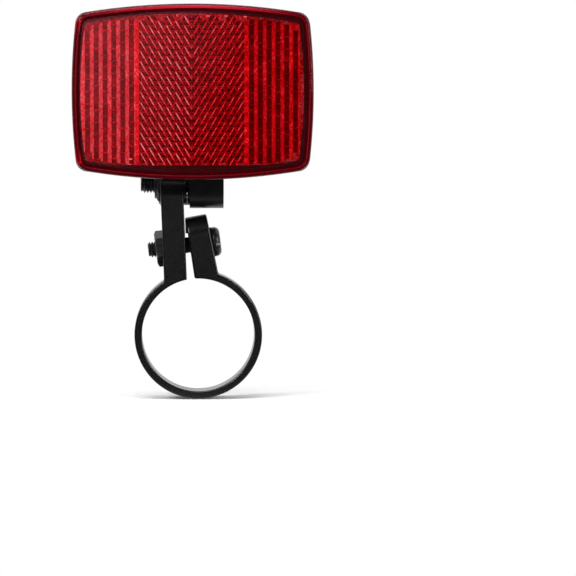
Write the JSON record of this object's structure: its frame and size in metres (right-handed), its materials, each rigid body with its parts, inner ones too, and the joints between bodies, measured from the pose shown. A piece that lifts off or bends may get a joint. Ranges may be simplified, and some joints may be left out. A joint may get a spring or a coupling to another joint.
{
  "type": "bicycle rear reflector",
  "caption": "Red prism reflector with bulging sides on a serrated tilting pivot, carried by a black split band bracket that clamps round a seat post.",
  "frame": {"origin": "centre of the seat post band's bore, half way along its width", "axes": "+Y along the seat post, away from the viewer of the picture; +Z from the band up the arm to the lens; +X to the clamp ear's side"},
  "size_m": [0.0609, 0.0219, 0.0999],
  "materials": {
    "red_lens": "clear red moulding, smooth outside, prisms inside",
    "black_housing": "satin",
    "black_nylon": "satin, as moulded",
    "black_steel": "black zinc plate"
  },
  "bodies": {
    "clamp_bracket": {"bracket": "black_nylon", "pivot_screw": "black_steel", "pivot_nut": "black_steel", "clamp_screw": "black_steel", "clamp_nut": "black_steel"},
    "reflector_head": {"lens": "red_lens", "back_cover": "black_housing"}
  },
  "joints": [
    {"name": "reflector_tilt", "type": "hinge", "parent": "clamp_bracket", "child": "reflector_head", "pos_m": [0, 0, 0.0384], "axis": [1, 0, 0], "range_deg": [-130, 45]}
  ]
}
